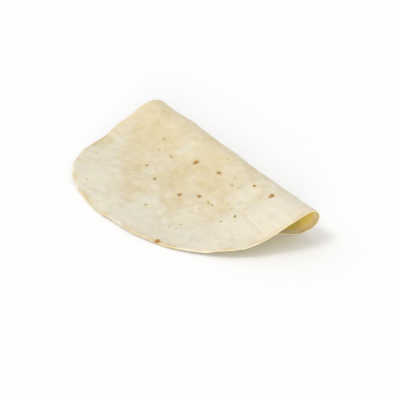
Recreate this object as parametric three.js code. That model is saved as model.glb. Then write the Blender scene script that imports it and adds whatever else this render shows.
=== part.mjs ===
// A wheat-flour wrap tortilla, loosely folded over and lying on a flat surface.
// Millimetres, +Z up. The crease runs along X, and the free flap reaches towards -Y.
//
// The tortilla is one baked sheet. It is laid out as a flat disc first, in which x runs along
// the crease and s runs across it, with s = 0 in the middle of the bend. Each cross-section of
// the disc is then bent: it lies flat, turns up and over in an open loop, and the flap comes
// back down in a long curve until it all but touches the surface beyond the lower layer.
import * as THREE from 'three';
import { mergeVertices } from 'three/addons/utils/BufferGeometryUtils.js';

// The flat disc.
const DISC_RADIUS = 121;
const THICKNESS = 1.6;
const RIM_WAVES = [
  { count: 2, height: 5.5, crestDegrees: -5 },
  { count: 3, height: 3, crestDegrees: 20 },
  { count: 4, height: 1, crestDegrees: 40 },
];

// The fold. Lengths are measured along the sheet. Each gain is the share by which a length
// grows from the middle of the crease to HALF_WIDTH along it, towards +X.
const CREASE_OFFSET = 24.9;
const HALF_WIDTH = 125;
const LOOP = { reach: 40.2, gain: 0.04 };
const FLAP_MIDDLE = { reach: 62.7, gain: 0.23 };
const FLAP = { reach: 82, gain: -0.1 };
const FLAP_CLEARANCE = 0.5;
const MOST_RETURN_TURN = 2.2;

// The mesh.
const COLUMNS = 12;
const ROWS = 90;
const LAST_ROW_ANGLE = THREE.MathUtils.degToRad(87);
const ARC_STEP = 1;
const BISECTIONS = 30;

const CRUMB_COLOUR = 0xe8dcc2;

/** Distance from the disc's centre to its rim, in the direction of an angle. */
function rimRadius(angle) {
  let radius = DISC_RADIUS;
  for (const wave of RIM_WAVES) {
    const crest = THREE.MathUtils.degToRad(wave.crestDegrees);
    radius += wave.height * Math.cos(wave.count * (angle - crest));
  }
  return radius;
}

/** A point of the flat disc: across runs from rim to rim along a row, along from row to row. */
function discPoint(across, along) {
  const angle = along * 2 * LAST_ROW_ANGLE;
  const rightRadius = rimRadius(angle);
  const leftRadius = rimRadius(Math.PI - angle);
  const right = new THREE.Vector2(rightRadius * Math.cos(angle), rightRadius * Math.sin(angle));
  const left = new THREE.Vector2(-leftRadius * Math.cos(angle), leftRadius * Math.sin(angle));
  const point = left.lerp(right, across + 0.5);
  return { x: point.x, s: point.y + CREASE_OFFSET };
}

/** A length of the fold at a place along the crease. */
function tapered(length, x) {
  return length.reach * (1 + (length.gain * x) / HALF_WIDTH);
}

/** How much of a turn is done at a place inside it: 0 before -1, 1 after +1, smooth between. */
function turnDone(place) {
  const t = THREE.MathUtils.clamp(place, -1, 1);
  return (t + 1) / 2 + Math.sin(Math.PI * t) / (2 * Math.PI);
}

/** The bend of the cross-section at x, once the flap's return turn is known. */
function bendAt(x, returnTurn) {
  const loop = tapered(LOOP, x);
  const middle = tapered(FLAP_MIDDLE, x);
  const flap = tapered(FLAP, x);
  return {
    start: -loop,
    end: middle + flap,
    slope: (s) => (Math.PI + returnTurn) * turnDone(s / loop) - returnTurn * turnDone((s - middle) / flap),
  };
}

/** Follows a cross-section from the flat lower layer to s, in short straight steps. */
function follow(bend, s) {
  const length = Math.min(s, bend.end) - bend.start;
  const steps = Math.max(1, Math.ceil(length / ARC_STEP));
  const step = length / steps;
  let y = bend.start;
  let z = 0;
  for (let i = 0; i < steps; i += 1) {
    const slope = bend.slope(bend.start + (i + 0.5) * step);
    y += step * Math.cos(slope);
    z += step * Math.sin(slope);
  }
  y += (s - bend.start - length) * Math.cos(bend.slope(s));
  return { y, z };
}

/** Finds the return turn that brings the end of the flap down to its clearance. */
function settledBend(x) {
  let least = 0;
  let most = MOST_RETURN_TURN;
  for (let i = 0; i < BISECTIONS; i += 1) {
    const middle = (least + most) / 2;
    const bend = bendAt(x, middle);
    if (follow(bend, bend.end).z > FLAP_CLEARANCE) {
      least = middle;
    } else {
      most = middle;
    }
  }
  return bendAt(x, (least + most) / 2);
}

/** Folds one point of the sheet. Side is +0.5 on the face that the fold encloses, -0.5 outside. */
function folded(across, along, side) {
  const { x, s } = discPoint(across, along);
  const bend = settledBend(x);
  const { y, z } = follow(bend, s);
  const slope = bend.slope(s);
  const offset = side * THICKNESS;
  return new THREE.Vector3(x, y - offset * Math.sin(slope), z + offset * Math.cos(slope));
}

/** The tortilla: a thin block of unit size, each corner of whose mesh is moved to its place. */
function tortillaGeometry() {
  const block = new THREE.BoxGeometry(1, 1, 1, COLUMNS, ROWS, 1);
  block.deleteAttribute('normal');
  block.deleteAttribute('uv');
  const geometry = mergeVertices(block);
  const position = geometry.attributes.position;
  for (let i = 0; i < position.count; i += 1) {
    const point = folded(position.getX(i), position.getY(i), position.getZ(i));
    position.setXYZ(i, point.x, point.y, point.z);
  }
  geometry.computeBoundingBox();
  const box = geometry.boundingBox;
  const centre = box.getCenter(new THREE.Vector3());
  geometry.translate(-centre.x, -centre.y, -box.min.z);
  geometry.computeVertexNormals();
  return geometry;
}

const tortilla = new THREE.Mesh(
  tortillaGeometry(),
  new THREE.MeshStandardMaterial({ color: CRUMB_COLOUR, roughness: 0.8, metalness: 0 }),
);
tortilla.name = 'tortilla';

const group = new THREE.Group();
group.add(tortilla);

export default group;
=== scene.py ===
"""The folded flour tortilla's looks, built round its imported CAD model.

The sheet is folded with the same formula as the CAD model, on a much finer mesh. What the CAD
model leaves out is worked out on the flat disc first: an uneven rim, a rounded edge, blisters,
ripples, wrinkles and toast marks. Lengths are in millimetres until the mesh is made.
"""
import math

import bpy
import numpy as np
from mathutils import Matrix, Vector


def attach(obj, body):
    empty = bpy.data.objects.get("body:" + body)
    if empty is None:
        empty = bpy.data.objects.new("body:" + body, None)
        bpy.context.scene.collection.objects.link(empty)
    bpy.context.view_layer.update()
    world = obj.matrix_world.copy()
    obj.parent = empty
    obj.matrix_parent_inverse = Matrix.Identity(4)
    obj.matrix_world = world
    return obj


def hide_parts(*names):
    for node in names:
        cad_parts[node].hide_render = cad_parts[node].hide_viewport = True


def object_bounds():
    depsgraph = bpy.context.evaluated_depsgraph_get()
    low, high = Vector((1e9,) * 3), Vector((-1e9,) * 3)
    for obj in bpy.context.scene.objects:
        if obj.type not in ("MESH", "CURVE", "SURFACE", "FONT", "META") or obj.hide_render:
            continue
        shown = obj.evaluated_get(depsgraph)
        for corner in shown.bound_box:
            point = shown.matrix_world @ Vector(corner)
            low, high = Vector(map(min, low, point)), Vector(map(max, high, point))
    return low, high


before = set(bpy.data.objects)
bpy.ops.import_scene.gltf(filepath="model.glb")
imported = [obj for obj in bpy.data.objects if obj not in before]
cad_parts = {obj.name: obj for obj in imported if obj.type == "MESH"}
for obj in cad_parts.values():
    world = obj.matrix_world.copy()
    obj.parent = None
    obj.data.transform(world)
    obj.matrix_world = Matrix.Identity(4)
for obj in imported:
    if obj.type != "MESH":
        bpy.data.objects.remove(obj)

CAD_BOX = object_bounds()
METRES = 0.001

# The flat disc. On it, x runs along the crease and s across it, and s is 0 in mid-bend.
DISC_RADIUS = 121.0
THICKNESS = 1.6
CREASE_OFFSET = 24.9
RIM_WAVES = [(2, 5.5, -5), (3, 3.0, 20), (4, 1.0, 40)]  # count, height, degrees round to a crest

# The fold: a length along the sheet, and the share it grows by at HALF_WIDTH towards +X.
HALF_WIDTH = 125.0
LOOP = (40.2, 0.04)
FLAP_MIDDLE = (62.7, 0.23)
FLAP = (82.0, -0.1)
FLAP_CLEARANCE = 0.5
MOST_RETURN_TURN = 2.2
BISECTIONS = 30

# The fold is worked out at STATIONS along the crease, and at the places ARC across it.
ARC_START = -110.0
ARC_END = 165.0
ARC_STEP = 0.5
ARC = np.arange(ARC_START, ARC_END, ARC_STEP)
STATION_REACH = 135.0
STATION_COUNT = 37
STATIONS = np.linspace(-STATION_REACH, STATION_REACH, STATION_COUNT)

# The mesh: rings of the disc, evenly spaced up to ring EVEN_RINGS. That ring and the ones after
# it lie at EDGE_RINGS' distances from the rim, which draw the rounded edge.
EVEN_RINGS = 100
EDGE_RINGS = [3.0, 2.2, 1.5, 0.95, 0.5, 0.2, 0.05, 0.0]
RINGS = EVEN_RINGS + len(EDGE_RINGS) - 1
EDGE_ROUNDING = 1.6
RIM_THINNING = 0.3
RIM_THINNING_WIDTH = 14.0

# The material's patterns are read at x, s and a depth. The depth is 0 on the outer face. On the
# inner face it is the distance from the rim, up to this, so the two faces only match at the rim.
MOST_DEPTH = 60.0


# ---------------------------------------------------------------- smooth random fields

WAVES_PER_FIELD = 28
WAVE_NUMBERS = (0.6, 1.3)  # smallest and largest, over that of a wave two sizes long
PATCH_EDGE = (-0.3, 0.9)


def ripples(x, s, size, seed):
    """A smooth random field, mostly between -1 and 1, whose bumps are about size across."""
    rng = np.random.default_rng(seed)
    field = np.zeros_like(x)
    for _ in range(WAVES_PER_FIELD):
        heading = rng.uniform(0, 2 * np.pi)
        number = np.pi / size * rng.uniform(*WAVE_NUMBERS)
        phase = rng.uniform(0, 2 * np.pi)
        field += np.cos(number * (x * np.cos(heading) + s * np.sin(heading)) + phase)
    return field / np.sqrt(WAVES_PER_FIELD)


def rippled(x, s, layers):
    """The sum of several random fields, each given as its height, size and seed."""
    return sum(height * ripples(x, s, size, seed) for height, size, seed in layers)


def ease(value, start, end):
    """0 before start, 1 after end, and smooth between."""
    t = np.clip((value - start) / (end - start), 0, 1)
    return t * t * (3 - 2 * t)


def in_patches(x, s, size, seed):
    """1 in scattered patches about size across, 0 between them, and smooth at their edges."""
    return ease(ripples(x, s, size, seed), *PATCH_EDGE)


def near_rim(inset, start, end):
    """1 up to start from the rim, 0 beyond end, and smooth between."""
    return 1 - ease(inset, start, end)


# ---------------------------------------------------------------- the fold

def turn_done(place):
    """How much of a turn is done at a place inside it: 0 before -1, 1 after +1."""
    t = np.clip(place, -1, 1)
    return (t + 1) / 2 + np.sin(np.pi * t) / (2 * np.pi)


def tapered(length, x):
    """A length of the fold at a place along the crease."""
    reach, gain = length
    return reach * (1 + gain * x / HALF_WIDTH)


def cross_section(x):
    """Reach, height and slope of the folded sheet along ARC, for the section at x."""
    loop = tapered(LOOP, x)
    middle = tapered(FLAP_MIDDLE, x)
    flap = tapered(FLAP, x)

    def slope(s, turn):
        return (np.pi + turn) * turn_done(s / loop) - turn * turn_done((s - middle) / flap)

    between = (ARC[1:] + ARC[:-1]) / 2
    least, most = 0.0, MOST_RETURN_TURN
    for _ in range(BISECTIONS):
        turn = (least + most) / 2
        if np.sin(slope(between, turn)).sum() * ARC_STEP > FLAP_CLEARANCE:
            least = turn
        else:
            most = turn
    steps = slope(between, turn)
    y = ARC[0] + ARC_STEP * np.append(0, np.cumsum(np.cos(steps)))
    z = ARC_STEP * np.append(0, np.cumsum(np.sin(steps)))
    return np.stack([y, z, slope(ARC, turn)], axis=-1)


SECTIONS = np.array([cross_section(x) for x in STATIONS])


def folded(x, s, offset):
    """Where a point of the flat sheet lies once folded. Offset is its height over the mid-sheet."""
    across = (x - STATIONS[0]) / (STATIONS[1] - STATIONS[0])
    along = (s - ARC[0]) / ARC_STEP
    i = np.clip(across.astype(int), 0, len(STATIONS) - 2)
    j = np.clip(along.astype(int), 0, len(ARC) - 2)
    a = (across - i)[..., None]
    b = (along - j)[..., None]
    near = SECTIONS[i, j] * (1 - b) + SECTIONS[i, j + 1] * b
    far = SECTIONS[i + 1, j] * (1 - b) + SECTIONS[i + 1, j + 1] * b
    y, z, slope = np.moveaxis(near * (1 - a) + far * a, -1, 0)
    return np.stack([x, y - offset * np.sin(slope), z + offset * np.cos(slope)], axis=-1)


# ---------------------------------------------------------------- the flat disc

# The rim's unevenness, as height, size and seed. The nicks come in patches of a size and seed.
RIM_RIPPLES = [(0.7, 24, 3), (0.12, 3.5, 9)]
RIM_NICKS = [(0.5, 8, 4)]
NICK_PATCHES = (40, 2)


def rim_radius(angle):
    """How far the rim is from the disc's middle, before its small unevenness."""
    radius = np.full_like(angle, DISC_RADIUS)
    for count, height, crest in RIM_WAVES:
        radius += height * np.cos(count * (angle - math.radians(crest)))
    return radius


def rim_wobble(angle):
    """The small unevenness of a rim pressed from a ball of dough."""
    x = DISC_RADIUS * np.cos(angle)
    s = DISC_RADIUS * np.sin(angle)
    nicks = in_patches(x, s, *NICK_PATCHES) * rippled(x, s, RIM_NICKS)
    return rippled(x, s, RIM_RIPPLES) + nicks


def disc_grid():
    """A square grid laid out over the disc in rings: x, s and the distance from the rim."""
    line = np.arange(-RINGS, RINGS + 1, dtype=float)
    a, b = np.meshgrid(line, line, indexing="ij")
    ring = np.maximum(abs(a), abs(b))
    wide = abs(a) >= abs(b)
    safe_a = np.where(a == 0, 1, a)
    safe_b = np.where(b == 0, 1, b)
    angle = np.where(wide, np.pi / 4 * b / safe_a, np.pi / 2 - np.pi / 4 * a / safe_b)
    angle = np.where(np.where(wide, a, b) < 0, angle + np.pi, angle)
    radius = rim_radius(angle) + rim_wobble(angle)
    even = radius * (1 - ring / EVEN_RINGS) + EDGE_RINGS[0] * (ring / EVEN_RINGS)
    last = np.clip(ring.astype(int) - EVEN_RINGS, 0, len(EDGE_RINGS) - 1)
    inset = np.where(ring < EVEN_RINGS, even, np.array(EDGE_RINGS)[last])
    inset = np.minimum(inset, radius)
    distance = radius - inset
    x = distance * np.cos(angle)
    s = distance * np.sin(angle) + CREASE_OFFSET
    return x, s, inset


# ---------------------------------------------------------------- relief on the two faces

# The toast marks that stand out on the flap, where blisters met the griddle: x, s, half length
# along the crease, half width across it, and how brown they are.
OUTER_TOAST = [
    (-3, 40, 2.6, 3.1, 1.0),
    (27, 35, 3.4, 2.0, 0.85),
    (22, 72, 2.3, 2.0, 0.95),
    (37, 62, 2.0, 1.9, 0.85),
    (69, 119, 2.8, 2.8, 1.0),
    (89, 25, 2.3, 2.3, 0.9),
    (67, 26, 2.0, 1.4, 0.8),
    (83, 57, 1.6, 1.6, 0.85),
    (78, 67, 1.2, 1.3, 0.5),
    (-58, 40, 2.2, 1.7, 0.5),
    (-50, 51, 2.0, 2.2, 0.35),
    (-31, 49, 3.0, 1.5, 0.5),
    (-39, 70, 2.0, 1.7, 0.6),
    (-13, 76, 2.9, 1.6, 0.65),
    (-6, 65, 1.2, 1.1, 0.35),
    (4, 71, 1.4, 1.2, 0.4),
    (50, 61, 1.5, 1.2, 0.6),
    (55, 61, 1.9, 0.9, 0.5),
    (50, 37, 3.0, 1.3, 0.4),
    (57, 36, 1.5, 1.0, 0.35),
    (44, 30, 1.6, 1.3, 0.35),
    (19, 20, 1.8, 1.2, 0.35),
    (17, 101, 1.8, 1.4, 0.5),
    (56, 101, 1.2, 1.0, 0.4),
    (58, 92, 1.3, 1.2, 0.35),
    (-57, 79, 1.0, 1.0, 0.4),
    (-49, 122, 1.4, 1.0, 0.35),
]
OUTER_TOAST_FROM = 15.0  # the s from which the marks listed above stand in for random ones

# Toast marks at random places: seed, count, smallest and largest radius.
OUTER_FRECKLES = (72, 55, 0.4, 1.0)
OUTER_LARGER = (75, 44, 0.8, 2.8)
INNER_MARKS = (71, 60, 0.6, 2.4)
MARK_STRETCH = (0.8, 1.5)
MARK_BROWNNESS = (0.15, 0.6)
NO_MARK_NEAR = 9.0  # a distance from a mark, in its half lengths, that is as good as none
MARK_SWELLING = 0.25
MARK_SWELLING_FADE = (0.4, 1.6)  # in the mark's half lengths

# The dough's warmth: at the rim, and what is added by distance from the rim, over two distances.
WARMTH_AT_RIM = 0.33
INSIDE_WARMTH = 0.20
INSIDE_WARMTH_FADE = (10, 45)
RIM_WARMTH = 0.35
RIM_WARMTH_FADE = (1, 9)
RIM_WARMTH_FIELD = (16, 8)  # the size and seed of the patches that it comes in
RIM_WARMTH_EDGE = (0, 0.8)
EDGE_WARMTH = 0.15
EDGE_WARMTH_FADE = (0, 4)
# Painted light and shade: relief takes warmth off, so hollows are painted yellower and darker and
# bumps paler, as they look when lit.
PAINTED_SHADE_PER_RELIEF = 0.35  # what a millimetre of relief takes off

# Where the dough is yellower or paler than its surroundings: partly its own tone, as in the
# yellower middle, and partly painted light and shade, paler at the +X end and on the flap's lower
# part, where more light falls, and yellower towards the -X end, which lies more in shade. x, s,
# radius and change of warmth.
TONE_AND_PAINTED_LIGHT_ZONES = [
    (10, 50, 40, 0.18),
    (-100, 35, 35, 0.30),
    (-80, 75, 25, 0.12),
    (105, 35, 35, -0.32),
    (85, 85, 25, -0.22),
    (65, 110, 20, -0.16),
    (20, 110, 30, -0.20),
    (-65, 110, 30, -0.20),
]

# Each face's random fields take seeds counted on from its own.
OUTER_SEED = 40
INNER_SEED = 50
BLISTER_SEED = 4
WRINKLE_SEED = 5
WANDER_SEED = 10
MARK_SEED = 30

# Ripples on a face: height, size, and how many times closer together across the crease.
FACE_RIPPLES = [(0.25, 20, 1.0), (0.15, 9, 1.8), (0.055, 4, 1.0)]
RELIEF_FULL_AT = 2.5  # the distance from the rim over which relief grows to its full height

BLISTER_KINDS = [  # how many on a face, smallest and largest radius, height over radius
    (34, 4.0, 8.0, 0.075),
    (110, 1.6, 3.6, 0.10),
    (260, 0.8, 1.5, 0.14),
]
# Groups of blisters along the flap's rim: x, s and how far each group spreads.
BLISTER_GROUPS = [(5, 130, 6), (25, 130, 7), (45, 120, 8), (-60, 115, 9), (90, 100, 6)]
GROUP_SIZE = 9
GROUP_BLISTERS = (1.2, 3.2, 0.15)  # smallest and largest radius, height over radius
WANDER = 0.35
WANDER_SIZE = 3.5

WRINKLE_HEIGHT = 0.2
WRINKLE_SIZE = 17
WRINKLE_NARROWNESS = 0.32
WRINKLE_CROWDING = 1.5  # how many times closer together they lie across the crease
WRINKLE_BENDS = (4, 15)  # height and size
WRINKLE_PATCHES = 38

PRESS_LINES = [  # straight dents in the outer face: x, s, half length, degrees from x, and depth
    (100, 52, 20, 5, 0.5),
    (35, 90, 15, 60, 0.2),
]
PRESS_WIDTH = 1.3
PRESS_FADE_FROM = 0.4  # the share of its half length over which a line keeps its depth

# How the lifted part strays from a smooth fold: ripples, as height, size and seed, and broad
# hollows, as x, s, half length, half width and depth.
DRIFT_RIPPLES = [(0.8, 55, 5), (0.2, 22, 6)]
RIM_DRIFT_RIPPLES = [(0.5, 14, 7)]
RIM_DRIFT_WIDTH = 24
HOLLOWS = [(45, 24, 26, 30, 1.9), (-38, 62, 24, 20, 0.7), (84, 70, 20, 16, 0.6)]
LIFTING = (-30, 5)  # the s over which the sheet comes up off the surface
LANDING = (70, 100)  # the s over which the flap comes back down
LANDING_LIFT = 0.8


def random_spots(rng, count, smallest, largest):
    """Places spread evenly over the disc, with a radius each."""
    angle = rng.uniform(0, 2 * np.pi, count)
    distance = DISC_RADIUS * np.sqrt(rng.uniform(0, 1, count))
    radius = rng.uniform(smallest, largest, count)
    return zip(distance * np.cos(angle), distance * np.sin(angle) + CREASE_OFFSET, radius)


def wandering(x, s, seed):
    """Moves places a little, so that round things drawn there come out irregular."""
    away_x = WANDER * ripples(x, s, WANDER_SIZE, seed)
    away_s = WANDER * ripples(x, s, WANDER_SIZE, seed + 1)
    return x + away_x, s + away_s


def blister_spots(rng, groups):
    """Where the blisters are: x, s, radius and height over radius."""
    spots = []
    for count, smallest, largest, steepness in BLISTER_KINDS:
        for spot in random_spots(rng, count, smallest, largest):
            spots.append((*spot, steepness))
    smallest, largest, steepness = GROUP_BLISTERS
    for group_x, group_s, spread in groups:
        for _ in range(GROUP_SIZE):
            away_x, away_s = rng.normal(0, spread / 2, 2)
            radius = rng.uniform(smallest, largest)
            spots.append((group_x + away_x, group_s + away_s, radius, steepness))
    return spots


def blisters(x, s, seed, groups):
    """Low domes left by steam in the dough."""
    wx, ws = wandering(x, s, seed + WANDER_SEED)
    height = np.zeros_like(x)
    for place_x, place_s, radius, steepness in blister_spots(np.random.default_rng(seed), groups):
        apart = ((wx - place_x) ** 2 + (ws - place_s) ** 2) / radius**2
        height = np.maximum(height, steepness * radius * np.clip(1 - apart, 0, None) ** 2)
    return height


def nearest_mark(x, s, marks, seed):
    """The way from the nearest toast mark, with how brown it is, and the distance from it.

    Both are in the mark's own half lengths.
    """
    wx, ws = wandering(x, s, seed)
    way = np.full((*x.shape, 3), NO_MARK_NEAR)
    nearest = np.full_like(x, NO_MARK_NEAR)
    for place_x, place_s, length, width, brown in marks:
        across = (wx - place_x) / length
        along = (ws - place_s) / width
        apart = np.hypot(across, along)
        nearer = apart < nearest
        nearest = np.where(nearer, apart, nearest)
        here = np.stack([across, along, np.full_like(x, brown)], axis=-1)
        way = np.where(nearer[..., None], here, way)
    return way, nearest


def random_marks(seed, count, smallest, largest):
    """Toast marks spread evenly over a face, in the form of OUTER_TOAST."""
    rng = np.random.default_rng(seed)
    marks = []
    for place_x, place_s, radius in random_spots(rng, count, smallest, largest):
        stretch = rng.uniform(*MARK_STRETCH)
        brown = rng.uniform(*MARK_BROWNNESS)
        marks.append((place_x, place_s, radius * stretch, radius / stretch, brown))
    return marks


def outer_marks():
    """The outer face's marks: OUTER_TOAST, freckles all over, and larger ones off the flap."""
    larger = [mark for mark in random_marks(*OUTER_LARGER) if mark[1] < OUTER_TOAST_FROM]
    return OUTER_TOAST + random_marks(*OUTER_FRECKLES) + larger


def wrinkles(x, s, seed):
    """Soft narrow ridges where the dough has puckered, in patches."""
    height, size = WRINKLE_BENDS
    bent = x + height * ripples(x, s, size, seed)
    level = ripples(bent, s * WRINKLE_CROWDING, WRINKLE_SIZE, seed + 1)
    ridges = np.exp(-((level / WRINKLE_NARROWNESS) ** 2))
    return in_patches(x, s, WRINKLE_PATCHES, seed + 2) * ridges


def face_relief(x, s, seed, groups):
    """How far a face stands proud of the smooth sheet."""
    relief = WRINKLE_HEIGHT * wrinkles(x, s, seed + WRINKLE_SEED)
    for step, (height, size, crowding) in enumerate(FACE_RIPPLES, start=1):
        relief += height * ripples(x, s * crowding, size, seed + step)
    return relief + blisters(x, s, seed + BLISTER_SEED, groups)


def press_lines(x, s):
    """Faint straight grooves pressed into the flap."""
    depth = np.zeros_like(x)
    for place_x, place_s, half_length, degrees, most in PRESS_LINES:
        turn = math.radians(degrees)
        along = (x - place_x) * math.cos(turn) + (s - place_s) * math.sin(turn)
        across = (s - place_s) * math.cos(turn) - (x - place_x) * math.sin(turn)
        line = most * np.exp(-((across / PRESS_WIDTH) ** 2))
        depth = np.maximum(depth, line * (1 - ease(abs(along) / half_length, PRESS_FADE_FROM, 1)))
    return depth


def drift(x, s, inset):
    """How far the lifted part strays from a smooth fold, towards its inside.

    Where the flap comes down it is held up a little, to keep it clear of the layer below.
    """
    wander = rippled(x, s, DRIFT_RIPPLES)
    wander += near_rim(inset, 0, RIM_DRIFT_WIDTH) * rippled(x, s, RIM_DRIFT_RIPPLES)
    for place_x, place_s, half_length, half_width, depth in HOLLOWS:
        apart = ((x - place_x) / half_length) ** 2 + ((s - place_s) / half_width) ** 2
        wander += depth * np.exp(-apart)
    return ease(s, *LIFTING) * wander - LANDING_LIFT * ease(s, *LANDING)


# ---------------------------------------------------------------- the mesh

def half_thickness(inset):
    """Half the sheet's thickness, which gets less towards the rim and ends in a round edge."""
    rounded = np.sqrt(1 - (1 - np.clip(inset / EDGE_ROUNDING, 0, 1)) ** 2)
    thinned = 1 - RIM_THINNING * near_rim(inset, 0, RIM_THINNING_WIDTH)
    return THICKNESS / 2 * rounded * thinned


def dough_warmth_and_painted_light(x, s, inset):
    """How yellow the dough is: about 0 where it is floury, and 1 where it is dense. Its zones also
    hold painted light and shade.
    """
    warmth_and_painted_light = WARMTH_AT_RIM + INSIDE_WARMTH * ease(inset, *INSIDE_WARMTH_FADE)
    for place_x, place_s, radius, change in TONE_AND_PAINTED_LIGHT_ZONES:
        warmth_and_painted_light += change * np.exp(-((x - place_x) ** 2 + (s - place_s) ** 2) / radius**2)
    patchy = ease(ripples(x, s, *RIM_WARMTH_FIELD), *RIM_WARMTH_EDGE)
    warmth_and_painted_light += RIM_WARMTH * patchy * near_rim(inset, *RIM_WARMTH_FADE)
    return warmth_and_painted_light + EDGE_WARMTH * near_rim(inset, *EDGE_WARMTH_FADE)


def face(x, s, inset, side):
    """One face of the folded sheet, and the values that its material reads. Side 1 is inside."""
    inside = side > 0
    seed = INNER_SEED if inside else OUTER_SEED
    marks = random_marks(*INNER_MARKS) if inside else outer_marks()
    way, apart = nearest_mark(x, s, marks, seed + MARK_SEED)
    relief = face_relief(x, s, seed, [] if inside else BLISTER_GROUPS)
    if not inside:
        relief -= press_lines(x, s)
    swelling = MARK_SWELLING * (1 - ease(apart, *MARK_SWELLING_FADE))
    proud = ease(inset, 0, RELIEF_FULL_AT) * (relief + swelling)
    points = folded(x, s, drift(x, s, inset) + side * (half_thickness(inset) + proud))
    depth = np.minimum(inset, MOST_DEPTH) if inside else np.zeros_like(x)
    values = {
        "place": np.stack([x, s, depth], axis=-1),
        "mark": way,
        "apart": apart,
        # Painted light and shade: hollows yellower and darker, bumps paler.
        "warmth_and_painted_light": dough_warmth_and_painted_light(x, s, inset) - PAINTED_SHADE_PER_RELIEF * relief,
    }
    return points, values


def triangles(index):
    """A grid's triangles.

    Each quad is cut along the diagonal that points to the middle, so the two faces, which share
    the rim's vertices, don't share a triangle at the grid's corners.
    """
    a, b, c, d = index[:-1, :-1], index[1:, :-1], index[1:, 1:], index[:-1, 1:]
    row, column = np.indices(a.shape)
    middle = len(a) / 2
    falling = ((row < middle) == (column < middle))[..., None]
    first = np.where(falling, np.stack([a, b, c], axis=-1), np.stack([a, b, d], axis=-1))
    second = np.where(falling, np.stack([a, c, d], axis=-1), np.stack([b, c, d], axis=-1))
    return np.concatenate([first, second]).reshape(-1, 3)


def centred(points):
    """Moves points from the fold's own origin to the CAD model's, and into metres.

    What would lie below the surface that the tortilla rests on is raised to it.
    """
    x, s, _ = disc_grid()
    smooth = [folded(x, s, side * THICKNESS / 2).reshape(-1, 3) for side in (-1, 1)]
    smooth = np.concatenate(smooth)
    low, high = smooth.min(axis=0), smooth.max(axis=0)
    cad_low, cad_high = (np.array(corner) / METRES for corner in CAD_BOX)
    shift = (cad_low + cad_high - low - high) / 2
    shift[2] = cad_low[2] - low[2]
    moved = points + shift
    moved[:, 2] = np.maximum(moved[:, 2], 0)
    return moved * METRES


def joined(inner, outer, rim):
    """The inner face's values, then those of the outer face that aren't on the rim."""
    return np.concatenate([inner.reshape(-1, *inner.shape[2:]), outer[~rim]])


def store(mesh, name, values):
    """Writes a number or a vector on each of the mesh's vertices, for the material to read."""
    kind, field = ("FLOAT", "value") if values.ndim == 1 else ("FLOAT_VECTOR", "vector")
    layer = mesh.attributes.new(name, kind, "POINT")
    layer.data.foreach_set(field, values.astype(np.float32).ravel())


def tortilla_mesh():
    """Both faces as one closed mesh. They share the vertices on the rim."""
    x, s, inset = disc_grid()
    inner, inner_values = face(x, s, inset, side=1)
    outer, outer_values = face(x, s, inset, side=-1)
    rim = np.zeros(x.shape, dtype=bool)
    rim[[0, -1], :] = True
    rim[:, [0, -1]] = True
    inner_index = np.arange(x.size).reshape(x.shape)
    outer_index = inner_index.copy()
    outer_index[~rim] = x.size + np.arange((~rim).sum())
    points = centred(joined(inner, outer, rim))
    faces = np.concatenate([triangles(inner_index), triangles(outer_index)[:, ::-1]])
    mesh = bpy.data.meshes.new("folded_tortilla")
    mesh.from_pydata(points.tolist(), [], faces.tolist())
    mesh.shade_smooth()
    for name in inner_values:
        store(mesh, name, joined(inner_values[name], outer_values[name], rim))
    return mesh


# ---------------------------------------------------------------- the material

FLOURY = (0.755, 0.70, 0.57)
DOUGH = (0.70, 0.612, 0.415)
BUTTERY = (0.655, 0.525, 0.28)
SMUDGE = (0.59, 0.52, 0.38)
# Painted shade: the ochre the inner face is given deep inside the fold, for the shade and bounced
# light there.
INNER_PAINTED_SHADE = (0.76, 0.62, 0.12)
PALE_TOAST = (0.50, 0.36, 0.15)
DARK_TOAST = (0.34, 0.15, 0.025)

# The values that most of a noise lies between.
COARSE_NOISE = (0.25, 0.75)
FINE_NOISE = (0.2, 0.8)

# How far the dough's warmth swings in patches and in smaller clouds, and the warmth over which
# each colour gives way to the next.
PATCH_SIZE = 24
PATCH_SWING = 0.16
CLOUD_SIZE = 7
CLOUD_SWING = 0.14
FLOURY_TO_DOUGH = (0.15, 0.65)
DOUGH_TO_BUTTERY = (0.55, 1.1)

# Smudges show where their own noise is high and the patches' noise is too.
SMUDGE_SIZE = 5
SMUDGE_NOISE = (0.50, 0.78)
SMUDGE_PATCHES = (0.35, 0.60)
SMUDGE_MOST = 0.6

# Painted shade on the inner face: its share, and the depth from the rim over which it sets in.
INNER_PAINTED_SHADE_SHARE = 0.9
INNER_PAINTED_SHADE_FADE = (1.5, 9)  # in depth, which only the inner face has

# Toast marks. A mark's level is 0 in its middle, -1 at its edge and lower outside, give or take
# its raggedness. The halo, the pale zone and the dark zone each set in over their own levels.
RAGGEDNESS = 0.3
RAGGEDNESS_SIZE = 1.8
HALO_LEVELS = (-2.0, -0.8)
HALO_MOST = 0.45
PALE_LEVELS = (-1.1, -0.7)
PALE_BROWNNESS = (0, 0.8)
DARK_LEVELS = (-0.8, -0.2)
DARK_BROWNNESS = (0.3, 1)
DARK_MOST = 0.95

# Halfway between two marks the way from the nearest one swings round, and its length shrinks on
# the way. It isn't let fall more than this below the distance, so no mark shows there.
MARK_SLACK = 0.4

# The surface's grain: size, height, detail and roughness.
GRAINS = [(3.0, 0.5, 3, 0.5), (1.5, 0.45, 4, 0.65), (0.6, 0.25, 4, 0.65)]
PORE_SPACING = 2.6
PORE_EDGE = (0.04, 0.26)
PORE_DEPTH = 0.3
BUMP_STRENGTH = 0.7
BUMP_HEIGHT = 0.35
ROUGHNESS = (0.68, 0.86)
ROUGHNESS_SIZE = 2.0
LIGHT_REACH = (1.0, 0.75, 0.4)  # red, green and blue, as shares of the sheet's thickness

# The Mix node's sockets that take and give colours.
MIX_FIRST = 6
MIX_SECOND = 7
MIX_RESULT = 2


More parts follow.
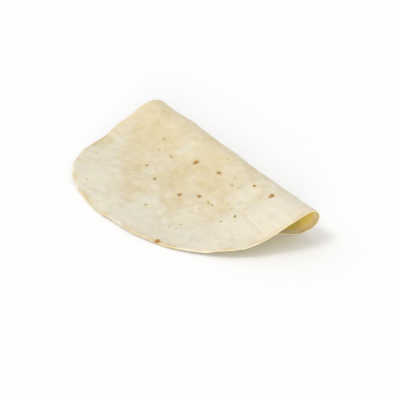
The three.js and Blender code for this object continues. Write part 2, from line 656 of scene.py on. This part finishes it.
class Nodes:
    """A small hand for making the nodes of a material or a world."""

    def __init__(self, owner):
        owner.use_nodes = True
        self.tree = owner.node_tree
        self.tree.nodes.clear()

    def add(self, kind, inputs=None, **settings):
        """A new node. Each of its inputs is a socket to link or a constant to set."""
        node = self.tree.nodes.new("ShaderNode" + kind)
        for key, value in settings.items():
            setattr(node, key, value)
        for key, value in (inputs or {}).items():
            if isinstance(value, bpy.types.NodeSocket):
                self.tree.links.new(value, node.inputs[key])
            else:
                node.inputs[key].default_value = value
        return node

    def attribute(self, name):
        return self.add("Attribute", attribute_name=name)

    def noise(self, place, size, detail, roughness=0.5, distortion=0.0):
        """Cloudy noise from 0 to 1 whose clouds are about size millimetres across."""
        inputs = {"Vector": place, "Scale": 1 / size, "Detail": detail}
        inputs.update({"Roughness": roughness, "Distortion": distortion})
        return self.add("TexNoise", inputs).outputs["Fac"]

    def ramp(self, value, start, end, low=0.0, high=1.0):
        """Low where value is start, high where it is end, and smooth between."""
        inputs = {"Value": value, "From Min": start, "From Max": end, "To Min": low, "To Max": high}
        return self.add("MapRange", inputs, interpolation_type="SMOOTHSTEP").outputs["Result"]

    def maths(self, operation, first, second):
        return self.add("Math", {0: first, 1: second}, operation=operation).outputs["Value"]

    def mix(self, share, first, second):
        """Second over first, by share. Both are colours, as a socket or as three numbers."""
        node = self.add("Mix", {"Factor": share}, data_type="RGBA")
        for slot, colour in ((MIX_FIRST, first), (MIX_SECOND, second)):
            if isinstance(colour, bpy.types.NodeSocket):
                self.tree.links.new(colour, node.inputs[slot])
            else:
                node.inputs[slot].default_value = (*colour, 1)
        return node.outputs[MIX_RESULT]


def dough_colour_with_painted_shade(nodes, place, warmth_and_painted_light):
    """Pale and floury where warmth is low, and yellower where it is high. Deep inside the fold the
    inner face gets painted shade, the ochre of the shaded inside of the loop.
    """
    patches = nodes.noise(place, PATCH_SIZE, detail=5, roughness=0.6, distortion=0.5)
    clouds = nodes.noise(place, CLOUD_SIZE, detail=5, roughness=0.65, distortion=0.3)
    for noise, swing in ((patches, PATCH_SWING), (clouds, CLOUD_SWING)):
        warmth_and_painted_light = nodes.maths("ADD", warmth_and_painted_light, nodes.ramp(noise, *COARSE_NOISE, -swing, swing))
    colour = nodes.mix(nodes.ramp(warmth_and_painted_light, *FLOURY_TO_DOUGH), FLOURY, DOUGH)
    colour = nodes.mix(nodes.ramp(warmth_and_painted_light, *DOUGH_TO_BUTTERY), colour, BUTTERY)
    smudges = nodes.noise(place, SMUDGE_SIZE, detail=4, distortion=0.8)
    smudges = nodes.ramp(smudges, *SMUDGE_NOISE, 0, SMUDGE_MOST)
    smudges = nodes.maths("MULTIPLY", smudges, nodes.ramp(patches, *SMUDGE_PATCHES))
    colour = nodes.mix(smudges, colour, SMUDGE)
    # Painted shade: deep inside the fold the inner face turns ochre.
    depth = nodes.add("SeparateXYZ", {0: place}).outputs["Z"]
    return nodes.mix(nodes.ramp(depth, *INNER_PAINTED_SHADE_FADE, 0, INNER_PAINTED_SHADE_SHARE), colour, INNER_PAINTED_SHADE)


def mark_level(nodes, place, way, apart):
    """How deep inside a toast mark a point is, with an uneven edge."""
    length = nodes.add("VectorMath", {0: way}, operation="LENGTH").outputs["Value"]
    apart = nodes.maths("MAXIMUM", length, nodes.maths("SUBTRACT", apart, MARK_SLACK))
    ragged = nodes.noise(place, RAGGEDNESS_SIZE, detail=4, roughness=0.55)
    ragged = nodes.ramp(ragged, *FINE_NOISE, -RAGGEDNESS, RAGGEDNESS)
    return nodes.maths("SUBTRACT", ragged, apart)


def toasted(nodes, colour, place, mark, apart):
    """Brown marks, darker in the middle, in a faint halo."""
    across, along, brown = nodes.add("SeparateXYZ", {0: mark}).outputs
    way = nodes.add("CombineXYZ", {0: across, 1: along}).outputs["Vector"]
    level = mark_level(nodes, place, way, apart)
    halo = nodes.maths("MULTIPLY", nodes.ramp(level, *HALO_LEVELS, 0, HALO_MOST), brown)
    colour = nodes.mix(halo, colour, BUTTERY)
    browned = nodes.ramp(brown, *PALE_BROWNNESS)
    pale = nodes.maths("MULTIPLY", nodes.ramp(level, *PALE_LEVELS), browned)
    colour = nodes.mix(pale, colour, PALE_TOAST)
    burnt = nodes.ramp(brown, *DARK_BROWNNESS, 0, DARK_MOST)
    dark = nodes.maths("MULTIPLY", nodes.ramp(level, *DARK_LEVELS), burnt)
    return nodes.mix(dark, colour, DARK_TOAST)


def surface_height(nodes, place):
    """The fine uneven grain of baked flour, with small open pores."""
    layers = []
    for size, share, detail, roughness in GRAINS:
        grain = nodes.noise(place, size, detail, roughness)
        layers.append(nodes.ramp(grain, *FINE_NOISE, 0, share))
    pores = nodes.add("TexVoronoi", {"Vector": place, "Scale": 1 / PORE_SPACING, "Randomness": 1.0})
    layers.append(nodes.ramp(pores.outputs["Distance"], *PORE_EDGE, 0, PORE_DEPTH))
    height = layers[0]
    for layer in layers[1:]:
        height = nodes.maths("ADD", height, layer)
    return height


def baked_dough():
    """The one material: rough pale dough that light passes into, with its browning and with painted
    light and shade in its colour.
    """
    material = bpy.data.materials.new("baked_dough")
    nodes = Nodes(material)
    place, mark = (nodes.attribute(name).outputs["Vector"] for name in ("place", "mark"))
    apart, warmth_and_painted_light = (nodes.attribute(name).outputs["Fac"] for name in ("apart", "warmth_and_painted_light"))
    colour = toasted(nodes, dough_colour_with_painted_shade(nodes, place, warmth_and_painted_light), place, mark, apart)
    rough = nodes.ramp(nodes.noise(place, ROUGHNESS_SIZE, detail=3), *FINE_NOISE, *ROUGHNESS)
    relief = {
        "Strength": BUMP_STRENGTH,
        "Distance": BUMP_HEIGHT * METRES,
        "Height": surface_height(nodes, place),
    }
    surface = {
        "Base Color": colour,
        "Roughness": rough,
        "IOR": 1.4,
        "Specular IOR Level": 0.3,
        "Subsurface Weight": 1.0,
        "Subsurface Radius": LIGHT_REACH,
        "Subsurface Scale": THICKNESS * METRES,
        "Normal": nodes.add("Bump", relief).outputs["Normal"],
    }
    shader = nodes.add("BsdfPrincipled", surface)
    nodes.add("OutputMaterial", {"Surface": shader.outputs["BSDF"]})
    return material


# ---------------------------------------------------------------- the stage

# Lengths here are in metres, except the camera's lens and sensor, which are in millimetres.
CAMERA = {"azimuth": 59.6, "elevation": 29.1, "distance": 0.8, "lens": 87.97}
CAMERA_AIM = Vector((0.0247, 0.0165, 0.0))
SENSOR_WIDTH = 36.0
FLOOR_RADIUS = 60.0
FLOOR_SIDES = 64
FLOOR_GAP = 0.0001
FLOOR_COLOUR = (0.975, 0.973, 0.97, 1)
FLOOR_ROUGHNESS = 0.9
SKY_COLOUR = (1, 1, 1, 1)
SKY_STRENGTH = 0.70
HORIZON_STRENGTH = 1.0  # about as bright as the floor, so that no edge shows in a low view
HORIZON_HEIGHT = 0.3
SUNS = [  # name, azimuth, elevation, watts per square metre, angle across in degrees
    ("key_light", -20, 58, 0.8, 24),
    ("end_light", 58, 14, 1.3, 30),
]
SUN_DISTANCE = 1.0


def direction(azimuth, elevation):
    """Towards the viewer: azimuth 0 is -Y, and 90 is +X."""
    a, e = math.radians(azimuth), math.radians(elevation)
    return Vector((math.sin(a) * math.cos(e), -math.cos(a) * math.cos(e), math.sin(e)))


def add_object(name, data):
    new = bpy.data.objects.new(name, data)
    bpy.context.collection.objects.link(new)
    return new


def facing(obj, back, distance, aim):
    """Puts an object back from aim by a distance, and turns it to look at aim."""
    obj.location = aim + back * distance
    obj.rotation_mode = "QUATERNION"
    obj.rotation_quaternion = (-back).to_track_quat("-Z", "Y")


def add_camera():
    data = bpy.data.cameras.new("camera")
    data.lens = CAMERA["lens"]
    data.sensor_width = SENSOR_WIDTH
    camera = add_object("camera", data)
    back = direction(CAMERA["azimuth"], CAMERA["elevation"])
    facing(camera, back, CAMERA["distance"], CAMERA_AIM)
    bpy.context.scene.camera = camera


def add_suns():
    for name, azimuth, elevation, strength, across in SUNS:
        data = bpy.data.lights.new(name, "SUN")
        data.energy = strength
        data.angle = math.radians(across)
        facing(add_object(name, data), direction(azimuth, elevation), SUN_DISTANCE, Vector())


def add_sky():
    """A white sky that brightens towards the horizon."""
    bpy.context.scene.world = bpy.data.worlds.new("studio")
    nodes = Nodes(bpy.context.scene.world)
    upward = nodes.add("SeparateXYZ", {0: nodes.add("TexCoord").outputs["Generated"]}).outputs["Z"]
    strength = nodes.ramp(upward, 0, HORIZON_HEIGHT, HORIZON_STRENGTH, SKY_STRENGTH)
    sky = nodes.add("Background", {"Color": SKY_COLOUR, "Strength": strength})
    nodes.add("OutputWorld", {"Surface": sky.outputs["Background"]})


def add_floor():
    turns = np.linspace(0, 2 * math.pi, FLOOR_SIDES, endpoint=False)
    corners = [
        (FLOOR_RADIUS * math.cos(turn), FLOOR_RADIUS * math.sin(turn), -FLOOR_GAP)
        for turn in turns
    ]
    mesh = bpy.data.meshes.new("floor")
    mesh.from_pydata(corners, [], [list(range(FLOOR_SIDES))])
    material = bpy.data.materials.new("floor")
    material.use_nodes = True
    shader = material.node_tree.nodes["Principled BSDF"]
    shader.inputs["Base Color"].default_value = FLOOR_COLOUR
    shader.inputs["Roughness"].default_value = FLOOR_ROUGHNESS
    mesh.materials.append(material)
    floor = add_object("floor", mesh)


def add_tortilla():
    mesh = tortilla_mesh()
    mesh.materials.append(baked_dough())
    tortilla = add_object("folded_tortilla", mesh)
    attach(tortilla, "root")
    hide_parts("tortilla")


bpy.context.scene.view_settings.view_transform = "Standard"
add_camera()
add_suns()
add_sky()
add_floor()
add_tortilla()
